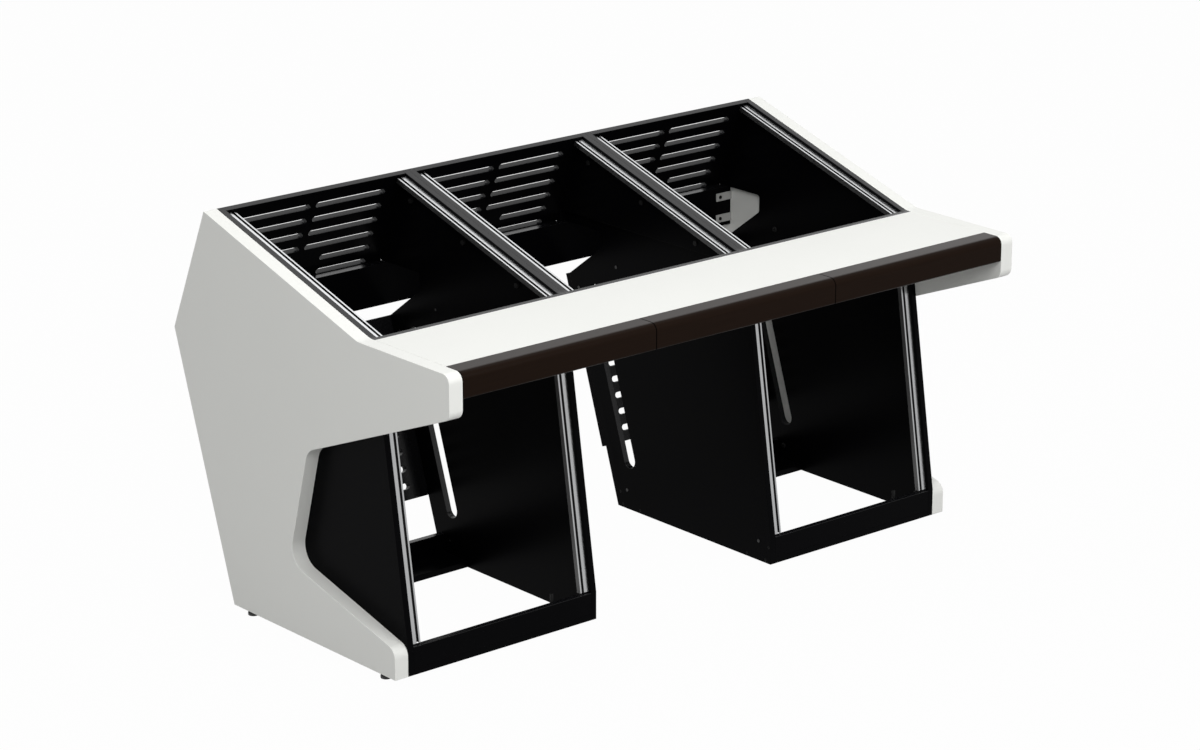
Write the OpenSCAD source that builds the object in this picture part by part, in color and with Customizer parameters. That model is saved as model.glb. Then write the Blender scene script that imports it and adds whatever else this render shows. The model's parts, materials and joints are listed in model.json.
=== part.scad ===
// Three-bay studio desk with two rack pedestals.
// Lengths are in millimetres. Side outlines are drawn as (y, z) points, where y runs back from the
// front of the side panel's foot and z runs up from the side panel's bottom edge.

/* [Bays] */
// Clear width of a bay between its side boards
bay_w = 500; // [470:1:540]
// Thickness of the black boards
board_t = 15; // [12:0.5:18]
// Thickness of the white side panels
panel_t = 36; // [30:1:42]

/* [Side outline] */
// Height of the worktop's surface above the side panel's bottom edge
desk_h = 736; // [715:1:760]
// Height of the top corner
top_h = 905; // [890:1:930]
// Distance that the arm stands out in front of the foot
arm_reach = 200; // [170:1:230]
// Height of the arm's blunt front end
arm_nose_h = 96; // [85:1:110]
// Depth at which the level arm turns into the slope
bend_y = 113; // [100:1:130]
// Depth of the top corner
top_y = 670; // [650:1:690]
// Depth of the rearmost corner
rear_y = 800; // [785:1:815]
// Height of the rearmost corner
rear_z = 610; // [600:1:625]
// Length of the side panel's bottom edge
foot_l = 597; // [585:1:610]
// Height of the toe
toe_h = 69; // [60:1:80]
// Depth of the knee cut-out's lower corner
knee_y = 379; // [360:1:390]
// Height of the knee cut-out's lower corner
knee_z = 168; // [155:1:180]
// Depth of the knee cut-out's upper corner
throat_y = 303; // [290:1:315]
// Height of the knee cut-out's upper corner
throat_z = 442; // [430:1:455]
// Round on the toe
toe_r = 28; // [20:1:34]
// Round in the knee cut-out's lower corner
knee_r = 50; // [35:1:60]
// Round in the knee cut-out's upper corner
throat_r = 45; // [35:1:60]
// Round under the arm's front end
arm_low_r = 24; // [12:1:28]
// Round on top of the arm's front end
arm_top_r = 21; // [12:1:24]
// Round where the slope starts
bend_r = 60; // [30:1:70]
// Round on the rearmost corner
rear_r = 8; // [4:1:12]

/* [Pedestals] */
// Length of a pedestal side's bottom edge
board_l = 542.5; // [536:0.5:548]
// Height of the plinth's top
plinth_h = 65; // [55:1:75]
// Height of the back rail's top
back_rail_h = 60; // [50:1:70]
// Depth of the plates at the bottom of a pedestal
floor_d = 99; // [85:1:110]
// Height of the bays' front walls, above the end of the leaning front edge
bay_front_h = 48; // [40:1:60]
// Depth of the notch's front edge
notch_y = 610.5; // [600:0.5:620]
// Height of the notch's top edge
notch_top = 673; // [668:1:684]
// Height at which the notch's front edge turns back
notch_low = 630.5; // [625:0.5:638]
// Round in the notch's corners
notch_r = 8; // [4:1:12]
// Fall of the notch's lower edge in degrees
notch_a = 36.6; // [34:0.1:38]
// Width of a cable slot
slot_w = 40; // [30:1:46]
// Distance from the back edge to the middle of a cable slot
slot_in = 78; // [72:1:84]
// Distance along the back edge to the cable slot's lower end
slot_low = 86; // [76:1:100]
// Distance along the back edge to the cable slot's upper end
slot_high = 540; // [520:1:545]
// Distance along the back edge to the rear cover's lower end
cover_low = 146.5; // [130:0.5:156]

/* [Worktop] */
// Thickness of the worktop
worktop_t = 25; // [22:1:30]
// Depth of the armrest
armrest_d = 57; // [50:1:65]
// Height of the armrest
armrest_h = 59; // [54:1:66]
// Round on the armrest's top front edge
armrest_top_r = 18; // [10:1:20]
// Round on the armrest's lower front edge
armrest_low_r = 5; // [3:1:8]
// Seam between two lengths of armrest
armrest_seam = 0.6; // [0.4:0.1:1]
// Thickness of the batten under the worktop's front edge
apron_t = 18; // [15:1:22]

/* [Upper frame] */
// Height of the middle bay's side boards at their front end
centre_side_h = 32; // [28:1:36]
// Width of their rear end, which reaches down to the beam
centre_leg_w = 32; // [28:1:38]
// Height of the rear beam
beam_h = 100; // [90:1:104]
// Thickness of the rear beam
beam_t = 25; // [20:1:28]
// Gap between the rear beam's top and the notch's top edge
beam_drop = 0.5; // [0.3:0.1:2]
// Width of a beam bracket
bracket_w = 20; // [16:1:22]
// Thickness of a beam bracket
bracket_t = 3; // [2:0.5:4]
// Length of the bracket on the beam
bracket_leg = 50; // [46:1:56]
// Depth that the bracket is let into the side panel
bracket_let = 12; // [8:1:18]
// Distance from the beam's top to the middle of the upper bracket
bracket_drop = 24.5; // [20:0.5:28]
// Distance between the two brackets at one end of the beam
bracket_pitch = 55; // [50:1:60]

/* [Vents] */
// Height of a vent slot
vent_h = 14.5; // [12:0.5:18]
// Distance from one row of vents to the next
vent_pitch = 40; // [36:1:40]
// Distance from a bay's side to the first vent slot
vent_margin = 46; // [35:1:60]
// Distance between the two vent slots of a row
vent_gap = 14; // [10:1:20]
// Length of the short vent slots in the lowest rows
vent_short = 144; // [120:1:170]
// Distance along an upper back panel to its lowest row of vents
vent_first_up = 84; // [84:0.5:88]
// Distance along a pedestal's back edge to its lowest row of vents
vent_first_low = 179; // [175:1:186]
// Rows of full vents in an upper back panel
vent_rows_up = 4; // [2:1:4]
// Rows of short vents below them
vent_rows_short = 2; // [1:1:2]
// Rows of vents in a rear cover
vent_rows_low = 10; // [6:1:10]

/* [Rack rails] */
// Width of a rack rail
rail_w = 25; // [25:0.5:27]
// Height of a rack rail's body
rail_h = 12; // [11:0.5:14]
// Distance from the boards' edges down to the rail's face
rail_drop = 7; // [5:0.5:10]
// Distance from the board to the middle of the nut groove
groove_in = 17.45; // [17.45:0.05:18]
// Width of the nut groove's mouth
groove_w = 6.5; // [5.5:0.1:7]
// Width of the nut groove inside
groove_hold_w = 11.5; // [10:0.5:11.5]
// Thickness of the lips over the nut groove
groove_lip = 2; // [1.5:0.1:2.5]
// Thickness of the nut groove's floor
groove_floor = 2.5; // [2:0.1:3]
// Thickness of the rail's ear against the board
ear_t = 2.5; // [2:0.1:3]
// Height of the ear below the rail's body
ear_h = 15; // [13:0.5:18]
// Gap at a rail's ends
rail_gap = 1.5; // [1:0.5:3]
// Screws in one rail
rail_screws = 4; // [3:1:5]
// Distance from a rail's end to its first screw
rail_screw_in = 40; // [30:1:60]

/* [Fasteners] */
// Radius of a wood screw's shank
screw_r = 2; // [1.5:0.1:2.2]
// Radius of a wood screw's head
screw_head_r = 4; // [3.5:0.1:4.5]
// Height of a wood screw's head
screw_head_h = 2.5; // [2:0.1:3]
// Depth that a wood screw reaches into the far board
screw_bite = 25; // [16:1:30]
// Depth that a rail screw reaches into the board
rail_screw_bite = 10; // [8:0.5:11]
// Radius of a connecting bolt's shank
bolt_r = 3; // [2.5:0.1:4]
// Radius of a connecting bolt's head
bolt_head_r = 6; // [5.5:0.1:8]
// Height of a connecting bolt's head
bolt_head_h = 3; // [2:0.1:4]
// Depth that a connecting bolt reaches into the side panel
bolt_bite = 25; // [15:1:28]
// Depth of the middle bay's bolts below the slope
bay_bolt_drop = 52; // [50:1:54]
// Gap around a screw or bolt in its hole
screw_fit = 0.1; // [0.05:0.01:0.2]
// Distance of a post from the right-hand board
post_in = 100; // [80:1:120]
// Width of an upright post behind the plinth
post_w = 6; // [4:1:8]
// Height of a post above the plinth
post_rise = 19; // [15:1:25]
// Depth that a post reaches down the plinth
post_down = 26; // [20:1:40]

/* [Feet] */
// Height of a foot below the side panel
foot_h = 14; // [12:1:20]
// Radius of a foot's pad
foot_r = 12.5; // [10:0.5:15]
// Thickness of a foot's pad
pad_h = 8; // [6:0.5:9]
// Radius of a foot's collar
collar_r = 8; // [6:0.5:9]
// Radius of a foot's threaded stem
stem_r = 4; // [3:0.5:4.5]
// Length of a foot's stem inside the side panel
stem_l = 28; // [26:1:30]
// Gap around the stem in its sleeve
stem_fit = 0.05; // [0.03:0.01:0.08]
// Distance that a foot screws down
foot_travel = 12; // [8:1:14]
// Radius of a foot's sleeve
sleeve_r = 7; // [6:0.5:8]
// Radius of the sleeve's flange
sleeve_flange_r = 11; // [9:0.5:12]
// Thickness of the sleeve's flange
sleeve_flange_t = 2; // [1.5:0.5:2.5]
// Length of the sleeve above its stem's rest position
sleeve_spare = 4; // [2:1:8]
// Depth of the front foot behind the toe
front_foot_y = 56; // [40:1:80]
// Distance of the rear foot from the bottom edge's rear end
rear_foot_in = 49; // [35:1:70]

/* [Hidden] */
$fn = 48;
arc_steps = 16;
turn = 360;
half_turn = turn / 2;
over = 1;

white = "#e9e9e4";
black = "#26262a";
dark_edge = "#5a5a5c";
brown = "#2e1f18";
alu = "#b9bbbd";
steel = "#a8aaac";
rubber_black = "#1a1a1a";

// Widths
pitch = bay_w + 2 * board_t;
bays = 3;
total_w = bays * pitch + 2 * panel_t;
inner_w = bays * pitch;
pedestal_bays = [0, 2];

// Depths and angles of the slope, the leaning front and the two backs
wall_y = bend_y - board_t;
lean_top_h = desk_h - bay_front_h;
centre_low = desk_h - centre_side_h;
slope_a = atan2(top_h - desk_h, top_y - bend_y);
slope_l = norm([top_y - bend_y, top_h - desk_h]);
front_a = atan2(lean_top_h - plinth_h, wall_y);
front_l = norm([wall_y, lean_top_h - plinth_h]);
lower_back_a = atan2(rear_z, rear_y - foot_l);
upper_back_a = atan2(top_h - rear_z, top_y - rear_y);
back_square = upper_back_a - slope_a;
lower_k = (rear_y - foot_l) / rear_z;
upper_k = (rear_y - top_y) / (top_h - rear_z);
notch_k = 1 / tan(notch_a);
chamfer_z = (notch_y - board_l + notch_low * notch_k) / (lower_k + notch_k);
cover_high = chamfer_z / sin(lower_back_a);
mid_y = (rear_y - arm_reach) / 2;

// Heights at the front
worktop_low = desk_h - worktop_t;
armrest_low = desk_h - armrest_h;
armrest_back = armrest_d - arm_reach;

// Rear beam
beam_top = notch_top - beam_drop;
beam_fit = 0.3;
beam_end_gap = 0.5;
beam_back = upper_y(beam_top) - board_t / sin(upper_back_a) - beam_fit;
beam_front = beam_back - beam_t;
bracket_first = beam_top - bracket_drop;
bracket_hole = 38;
bracket_screw_bite = 14;

// Rails
rail_l = slope_l - 2 * rail_gap - board_t / sin(back_square);
bay_rail_start = rail_gap;
pedestal_rail_start = board_t / tan(front_a) / sin(front_a) + rail_gap;
pedestal_rail_l = front_l - pedestal_rail_start - rail_gap;
ear_screw_v = -rail_h - ear_h / 2;
rail_screw_head_h = 2;

// Places of the screws and bolts in a pedestal side
frame_screw_z = board_t / 2;
frame_screw_in = 18;
frame_points = [
    [frame_screw_in, frame_screw_z],
    [floor_d - frame_screw_in, frame_screw_z],
    [board_t / 2, (board_t + plinth_h) / 2],
    [board_l - frame_screw_in, frame_screw_z],
    [board_l - floor_d + frame_screw_in, frame_screw_z],
    [board_l - board_t / 2, (board_t + back_rail_h) / 2]
];
bolt_points = [[41, 48], [509, 48], [552, 598], [689, 517]];
bay_bolt_s = [130, 330, 530];
cover_screw_in = 25;
cover_screw_rows = 3;
armrest_screw_in = 90;
armrest_screws_each = 3;
plug_head_h = 1.2;

// Depth of the upper back's outer face at height z
function upper_y(z) = top_y + (top_h - z) * upper_k;
// Depth of a pedestal side's back edge at height z
function lower_y(z) = board_l + z * lower_k;
// Left face of the space in bay b, counted from 0
function bay_x(b) = panel_t + board_t + b * pitch;

// A corner of an outline rounded with radius r: the points of its arc from side a to side c
function unit(v) = v / norm(v);
function corner(a, b, c, r) =
    let (
        to_a = unit(a - b),
        to_c = unit(c - b),
        half = acos(to_a * to_c) / 2,
        mid = b + unit(to_a + to_c) * r / sin(half),
        p = b + to_a * r / tan(half) - mid,
        q = b + to_c * r / tan(half) - mid,
        start = atan2(p.y, p.x),
        sweep = (atan2(q.y, q.x) - start + turn + half_turn) % turn - half_turn
    )
    [for (i = [0:arc_steps]) mid + r * [cos(start + sweep * i / arc_steps), sin(start + sweep * i / arc_steps)]];
// An outline from [y, z, r] entries, each corner rounded with its own radius
function rounded(list) =
    let (n = len(list), at = [for (e = list) [e[0], e[1]]])
    [for (i = [0:n - 1])
        for (p = list[i][2] > 0 ? corner(at[(i + n - 1) % n], at[i], at[(i + 1) % n], list[i][2]) : [at[i]]) p];

// Moves the side outline's frame to the middle of the desk at floor level
module placed() translate([-total_w / 2, -mid_y, foot_h]) children();
// A flat piece of thickness t with a (y, z) outline, from x towards +X
module slab(x, t, outline) translate([x, 0, 0]) rotate([90, 0, 90]) linear_extrude(t) polygon(outline);
// Frames along the sloping top, the leaning front and the two backs: Y runs up, Z is square to it
module on_slope() translate([0, bend_y, desk_h]) rotate([slope_a, 0, 0]) children();
module on_front() translate([0, 0, plinth_h]) rotate([front_a, 0, 0]) children();
module on_lower_back() translate([0, board_l, 0]) rotate([lower_back_a, 0, 0]) children();
module on_upper_back() translate([0, rear_y, rear_z]) rotate([upper_back_a, 0, 0]) children();
// Turns a piece that points along +Z to point along +X or -X
module pointing_x(dir) rotate([0, 90 * dir, 0]) children();
// Mirrors a right-hand piece about its board's face
module sided(x, side) translate([x, 0, 0]) mirror([side < 0 ? 1 : 0, 0, 0]) children();

// Screw with a raised head on the surface at z = 0, its shank along +Z
module raised_screw(shank_r, shank_l, head_r, head_h) {
    cylinder(h = shank_l, r = shank_r);
    translate([0, 0, -head_h]) cylinder(h = head_h, r = head_r);
}
// Screw with its head sunk flush into the surface at z = 0
module flush_screw(shank_r, shank_l, head_r, head_h) {
    cylinder(h = shank_l, r = shank_r);
    cylinder(h = head_h, r = head_r);
}
// Hole for a shank, from just outside the surface
module shank_hole(shank_r, depth) {
    translate([0, 0, -over]) cylinder(h = depth + over + screw_fit, r = shank_r + screw_fit);
}
// Hole for a flush screw
module flush_hole(shank_r, depth, head_r, head_h) {
    shank_hole(shank_r, depth);
    translate([0, 0, -over]) cylinder(h = head_h + over + screw_fit, r = head_r + screw_fit);
}

// Side panels
panel_outline = rounded([
    [0, 0, 0],
    [0, toe_h, toe_r],
    [knee_y, knee_z, knee_r],
    [throat_y, throat_z, throat_r],
    [-arm_reach, desk_h - arm_nose_h, arm_low_r],
    [-arm_reach, desk_h, arm_top_r],
    [bend_y, desk_h, bend_r],
    [top_y, top_h, 0],
    [rear_y, rear_z, rear_r],
    [foot_l, 0, 0]
]);
foot_ys = [front_foot_y, foot_l - rear_foot_in];
sleeve_l = stem_l + sleeve_spare;

module side_panel(x, inner_side) {
    inner_x = inner_side > 0 ? x + panel_t : x;
    difference() {
        slab(x, panel_t, panel_outline);
        for (y = foot_ys)
            translate([x + panel_t / 2, y, -over]) cylinder(h = sleeve_l + over + screw_fit, r = sleeve_r + screw_fit);
        for (p = bolt_points)
            translate([inner_x, p[0], p[1]]) pointing_x(-inner_side) shank_hole(bolt_r, bolt_bite);
        sided(inner_x, inner_side) for (z = bracket_zs) bracket_slot(z);
    }
}
module side_panel_left() color(white) placed() side_panel(0, 1);
module side_panel_right() color(white) placed() side_panel(total_w - panel_t, -1);

// Pedestal sides
pedestal_outline = concat(
    rounded([
        [0, 0, 0],
        [0, plinth_h, 0],
        [wall_y, lean_top_h, 0],
        [wall_y, desk_h, 0],
        [bend_y, desk_h, bend_r],
        [top_y, top_h, 0],
        [upper_y(notch_top), notch_top, 0],
        [notch_y, notch_top, notch_r],
        [notch_y, notch_low, notch_r],
        [lower_y(chamfer_z), chamfer_z, 0],
        [board_l, 0, 0]
    ])
);
// Boards of the pedestals: outer face and the direction from it into the pedestal
pedestal_sides = [
    [panel_t, 1],
    [panel_t + pitch, -1],
    [panel_t + 2 * pitch, 1],
    [panel_t + 3 * pitch, -1]
];

module cable_slot(x) {
    r = slot_w / 2;
    on_lower_back() translate([x - over, 0, slot_in]) {
        for (s = [slot_low + r, slot_high - r]) translate([0, s, 0]) rotate([0, 90, 0]) cylinder(h = board_t + 2 * over, r = r);
        translate([0, slot_low + r, -r]) cube([board_t + 2 * over, slot_high - slot_low - slot_w, slot_w]);
    }
}
// Places along a rail where its screws go
function rail_screw_at(start, length) =
    [for (i = [0:rail_screws - 1]) start + rail_screw_in + i * (length - 2 * rail_screw_in) / (rail_screws - 1)];
// Screws or holes along a rail on the board face at x = 0, pointing into the board
module along_rail(start, length)
    for (s = rail_screw_at(start, length)) translate([0, s, ear_screw_v - rail_drop]) pointing_x(-1) children();
module rail_holes_top(x, side) sided(x, side) on_slope() along_rail(bay_rail_start, rail_l)
    shank_hole(screw_r, rail_screw_bite);
module rail_holes_front(x, side) sided(x, side) on_front() along_rail(pedestal_rail_start, pedestal_rail_l)
    shank_hole(screw_r, rail_screw_bite);
// Places of the bolts that join a centre side to the pedestal side behind it
module at_bay_bolts(x, dir) on_slope() for (s = bay_bolt_s)
    translate([x, s, -bay_bolt_drop]) pointing_x(dir) children();
// Screws or holes that hold a rear cover to the board's back edge
cover_screw_gap = (cover_high - cover_low - 2 * cover_screw_in) / (cover_screw_rows - 1);
module at_cover_screws(x) on_lower_back() for (i = [0:cover_screw_rows - 1])
    translate([x, cover_low + cover_screw_in + i * cover_screw_gap, -board_t]) children();

module pedestal_side(i) {
    outer_x = pedestal_sides[i][0];
    dir = pedestal_sides[i][1];
    inner_x = outer_x + dir * board_t;
    low_x = min(outer_x, inner_x);
    color(black) placed() difference() {
        slab(low_x, board_t, pedestal_outline);
        cable_slot(low_x);
        for (p = frame_points) translate([outer_x, p[0], p[1]]) pointing_x(dir)
            flush_hole(screw_r, board_t + over, screw_head_r, screw_head_h);
        for (p = bolt_points) translate([outer_x, p[0], p[1]]) pointing_x(dir)
            shank_hole(bolt_r, board_t + over);
        rail_holes_top(inner_x, dir);
        rail_holes_front(inner_x, dir);
        at_cover_screws(low_x + board_t / 2) shank_hole(screw_r, board_t + screw_bite);
        if (i == 1 || i == 2) at_bay_bolts(outer_x, dir) shank_hole(bolt_r, board_t + over);
    }
}
module pedestal_side_1() pedestal_side(0);
module pedestal_side_2() pedestal_side(1);
module pedestal_side_3() pedestal_side(2);
module pedestal_side_4() pedestal_side(3);

// Sides of the middle bay
centre_outline = rounded([
    [wall_y, centre_low, 0],
    [wall_y, desk_h, 0],
    [bend_y, desk_h, bend_r],
    [top_y, top_h, 0],
    [upper_y(notch_top), notch_top, 0],
    [upper_y(notch_top) - centre_leg_w, notch_top, 0],
    [upper_y(notch_top) - centre_leg_w, centre_low, 0]
]);
module centre_side(inner_x, dir) {
    color(black) placed() difference() {
        slab(min(inner_x, inner_x - dir * board_t), board_t, centre_outline);
        rail_holes_top(inner_x, dir);
        at_bay_bolts(inner_x, -dir) shank_hole(bolt_r, board_t + over);
    }
}
module centre_side_left() centre_side(bay_x(1), 1);
module centre_side_right() centre_side(bay_x(1) + bay_w, -1);

// Front wall of a bay, behind the worktop
module bay_front(b) color(black) placed()
    translate([bay_x(b), wall_y, lean_top_h]) cube([bay_w, board_t, desk_h - lean_top_h]);
module bay_front_left() bay_front(0);
module bay_front_middle() bay_front(1);
module bay_front_right() bay_front(2);

// Vent slot with round ends in the XY plane, its left end at the origin
module vent(length) {
    r = vent_h / 2;
    translate([r, -r]) square([length - vent_h, vent_h]);
    for (x = [r, length - r]) translate([x, 0]) circle(r);
}
vent_l = (bay_w - 2 * vent_margin - vent_gap) / 2;
// A row of two vents at the bay's outer sides, both of the given length
module vent_row(length) {
    translate([vent_margin, 0]) vent(length);
    translate([bay_w - vent_margin - length, 0]) vent(length);
}

// Leaning back of a bay
back_outline = [
    [top_y, top_h],
    [rear_y, rear_z],
    [rear_y - board_t * sin(upper_back_a), rear_z + board_t * cos(upper_back_a)],
    [top_y - board_t / sin(back_square) * cos(slope_a), top_h - board_t / sin(back_square) * sin(slope_a)]
];
module back_panel(b) color(dark_edge) placed() difference() {
    slab(bay_x(b), bay_w, back_outline);
    on_upper_back() translate([bay_x(b), vent_first_up, -over]) linear_extrude(board_t + 2 * over)
        for (i = [0:vent_rows_short + vent_rows_up - 1])
            translate([0, i * vent_pitch]) vent_row(i < vent_rows_short ? vent_short : vent_l);
}
module back_panel_left() back_panel(0);
module back_panel_middle() back_panel(1);
module back_panel_right() back_panel(2);

// Rear beam and the flat brackets that join it to the side panels
bracket_zs = [bracket_first, bracket_first - bracket_pitch];
// Ends of the beam: side panel face and the direction along the beam
beam_ends = [[panel_t, 1], [panel_t + inner_w, -1]];

module at_bracket_beam_holes(x, dir) for (z = bracket_zs)
    translate([x + dir * bracket_hole, beam_front - bracket_t, z]) rotate([-90, 0, 0]) children();

module rear_beam() color(black) placed() difference() {
    translate([panel_t + beam_end_gap, beam_front, beam_top - beam_h])
        cube([inner_w - 2 * beam_end_gap, beam_t, beam_h]);
    for (e = beam_ends) at_bracket_beam_holes(e[0], e[1]) shank_hole(screw_r, bracket_t + bracket_screw_bite);
}
module beam_bracket(z) translate([-bracket_let, beam_front - bracket_t, z - bracket_w / 2])
    cube([bracket_let + bracket_leg, bracket_t, bracket_w]);
// Slot in a side panel that takes the end of a bracket
module bracket_slot(z)
    translate([-bracket_let - screw_fit, beam_front - bracket_t - screw_fit, z - bracket_w / 2 - screw_fit])
        cube([bracket_let + screw_fit + over, bracket_t + 2 * screw_fit, bracket_w + 2 * screw_fit]);
module beam_brackets() color(steel) placed() difference() {
    for (e = beam_ends) sided(e[0], e[1]) for (z = bracket_zs) beam_bracket(z);
    for (e = beam_ends) at_bracket_beam_holes(e[0], e[1]) shank_hole(screw_r, bracket_t + over);
}
module bracket_screws() color(steel) placed() for (e = beam_ends) at_bracket_beam_holes(e[0], e[1])
    raised_screw(screw_r, bracket_t + bracket_screw_bite, screw_head_r, screw_head_h);

// Worktop, the batten below it and the armrest in front
module worktop() color(white) placed()
    translate([panel_t, armrest_back, worktop_low]) cube([inner_w, wall_y - armrest_back, worktop_t]);

apron_h = worktop_low - armrest_low;
module at_armrest_screws() for (b = [0:bays - 1]) for (i = [0:armrest_screws_each - 1])
    translate([
        panel_t + b * pitch + armrest_screw_in + i * (pitch - 2 * armrest_screw_in) / (armrest_screws_each - 1),
        armrest_back + apron_t,
        armrest_low + apron_h / 2
    ]) rotate([90, 0, 0]) children();
module front_apron() color(black) placed() difference() {
    translate([panel_t, armrest_back, armrest_low]) cube([inner_w, apron_t, apron_h]);
    at_armrest_screws() shank_hole(screw_r, apron_t + over);
}

armrest_outline = rounded([
    [armrest_back, armrest_low, 0],
    [-arm_reach, armrest_low, armrest_low_r],
    [-arm_reach, desk_h, armrest_top_r],
    [armrest_back, desk_h, 0]
]);
module armrest(b) color(brown) placed() difference() {
    slab(panel_t + b * pitch + armrest_seam / 2, pitch - armrest_seam, armrest_outline);
    at_armrest_screws() shank_hole(screw_r, apron_t + screw_bite);
}
module armrest_left() armrest(0);
module armrest_middle() armrest(1);
module armrest_right() armrest(2);
module armrest_screws() color(steel) placed() at_armrest_screws()
    raised_screw(screw_r, apron_t + screw_bite, screw_head_r, screw_head_h);

// Rack rail: its section grows from the board face at x = 0, its face lies at y = 0 in the section
module rail_section() difference() {
    union() {
        translate([0, -rail_h]) square([rail_w, rail_h]);
        translate([0, -rail_h - ear_h]) square([ear_t, ear_h + over]);
    }
    translate([groove_in - groove_hold_w / 2, groove_floor - rail_h])
        square([groove_hold_w, rail_h - groove_floor - groove_lip]);
    translate([groove_in - groove_w / 2, -groove_lip - over]) square([groove_w, groove_lip + 2 * over]);
}
module rail(start, length) difference() {
    translate([0, start + length, -rail_drop]) rotate([90, 0, 0]) linear_extrude(length) rail_section();
    along_rail(start, length) translate([0, 0, -ear_t]) shank_hole(screw_r, ear_t + over);
}
// Screws of one rail, heads on its ear
module rail_screw_row(start, length) along_rail(start, length)
    translate([0, 0, -ear_t]) raised_screw(screw_r, ear_t + rail_screw_bite, screw_head_r, rail_screw_head_h);

// Board faces that carry a rail: left and right of each bay
function rail_faces(list) = [for (b = list) each [[bay_x(b), 1], [bay_x(b) + bay_w, -1]]];
bay_faces = rail_faces([0, 1, 2]);
pedestal_faces = rail_faces(pedestal_bays);

module bay_rail(i) color(alu) placed() sided(bay_faces[i][0], bay_faces[i][1])
    on_slope() rail(bay_rail_start, rail_l);
module bay_rail_1() bay_rail(0);
module bay_rail_2() bay_rail(1);
module bay_rail_3() bay_rail(2);
module bay_rail_4() bay_rail(3);
module bay_rail_5() bay_rail(4);
module bay_rail_6() bay_rail(5);
module pedestal_rail(i) color(alu) placed() sided(pedestal_faces[i][0], pedestal_faces[i][1])
    on_front() rail(pedestal_rail_start, pedestal_rail_l);
module pedestal_rail_1() pedestal_rail(0);
module pedestal_rail_2() pedestal_rail(1);
module pedestal_rail_3() pedestal_rail(2);
module pedestal_rail_4() pedestal_rail(3);
module bay_rail_screws() color(steel) placed() for (f = bay_faces) sided(f[0], f[1])
    on_slope() rail_screw_row(bay_rail_start, rail_l);
module pedestal_rail_screws() color(steel) placed() for (f = pedestal_faces) sided(f[0], f[1])
    on_front() rail_screw_row(pedestal_rail_start, pedestal_rail_l);

// Plates and rails across the bottom of a pedestal
module frame_holes(b) for (p = frame_points) {
    translate([bay_x(b), p[0], p[1]]) pointing_x(1) shank_hole(screw_r, screw_bite);
    translate([bay_x(b) + bay_w, p[0], p[1]]) pointing_x(-1) shank_hole(screw_r, screw_bite);
}
module cross_piece(b, y, z, depth, height) color(black) placed() difference() {
    translate([bay_x(b), y, z]) cube([bay_w, depth, height]);
    frame_holes(b);
}
module plinth(b) cross_piece(b, 0, board_t, board_t, plinth_h - board_t);
module plinth_left() plinth(pedestal_bays[0]);
module plinth_right() plinth(pedestal_bays[1]);
module back_rail(b) cross_piece(b, board_l - board_t, board_t, board_t, back_rail_h - board_t);
module back_rail_left() back_rail(pedestal_bays[0]);
module back_rail_right() back_rail(pedestal_bays[1]);
module front_floor(b) cross_piece(b, 0, 0, floor_d, board_t);
module front_floor_left() front_floor(pedestal_bays[0]);
module front_floor_right() front_floor(pedestal_bays[1]);
module rear_floor(b) cross_piece(b, board_l - floor_d, 0, floor_d, board_t);
module rear_floor_left() rear_floor(pedestal_bays[0]);
module rear_floor_right() rear_floor(pedestal_bays[1]);

// Vented cover on the back of a pedestal
module rear_cover(b) color(black) placed() difference() {
    on_lower_back() translate([bay_x(b) - board_t, cover_low, -board_t]) cube([pitch, cover_high - cover_low, board_t]);
    on_lower_back() translate([bay_x(b), vent_first_low, -board_t - over]) linear_extrude(board_t + 2 * over)
        for (i = [0:vent_rows_low - 1]) translate([0, i * vent_pitch]) vent_row(vent_l);
    for (x = [bay_x(b) - board_t / 2, bay_x(b) + bay_w + board_t / 2])
        at_cover_screws(x) shank_hole(screw_r, board_t + over);
}
module rear_cover_left() rear_cover(pedestal_bays[0]);
module rear_cover_right() rear_cover(pedestal_bays[1]);
module cover_screws() color(steel) placed() for (b = pedestal_bays)
    for (x = [bay_x(b) - board_t / 2, bay_x(b) + bay_w + board_t / 2])
        at_cover_screws(x) raised_screw(screw_r, board_t + screw_bite, screw_head_r, screw_head_h);

// Screws through the pedestal sides into the plates and rails between them
module frame_screws() color(black) placed() for (s = pedestal_sides) for (p = frame_points)
    translate([s[0], p[0], p[1]]) pointing_x(s[1]) flush_screw(screw_r, board_t + screw_bite, screw_head_r, screw_head_h);

// Bolts that hold the outer pedestal sides to the side panels, and plugs in the inner sides' spare holes
module panel_bolts() color(steel) placed() for (s = [pedestal_sides[0], pedestal_sides[3]]) for (p = bolt_points)
    translate([s[0] + s[1] * board_t, p[0], p[1]]) pointing_x(-s[1])
        raised_screw(bolt_r, board_t + bolt_bite, bolt_head_r, bolt_head_h);
module hole_plugs() color(black) placed() for (s = [pedestal_sides[1], pedestal_sides[2]]) for (p = bolt_points)
    translate([s[0], p[0], p[1]]) pointing_x(s[1]) raised_screw(bolt_r, board_t, bolt_r + plug_head_h, plug_head_h);

// Bolts that join the middle bay's sides to the pedestals, each with a sleeve nut on the far side
module bay_bolts() color(steel) placed() for (f = [bay_faces[2], bay_faces[3]]) {
    at_bay_bolts(f[0], -f[1]) raised_screw(bolt_r, 2 * board_t + bolt_head_h, bolt_head_r, bolt_head_h);
    at_bay_bolts(f[0] - 2 * f[1] * board_t, -f[1]) difference() {
        cylinder(h = 2 * bolt_head_h, r = bolt_head_r);
        shank_hole(bolt_r, bolt_head_h);
    }
}

// Upright metal posts behind the plinths
module plinth_posts() color(steel) placed() for (b = pedestal_bays)
    translate([bay_x(b) + bay_w - post_in - post_w / 2, board_t, plinth_h - post_down])
        cube([post_w, post_w, post_down + post_rise]);

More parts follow.
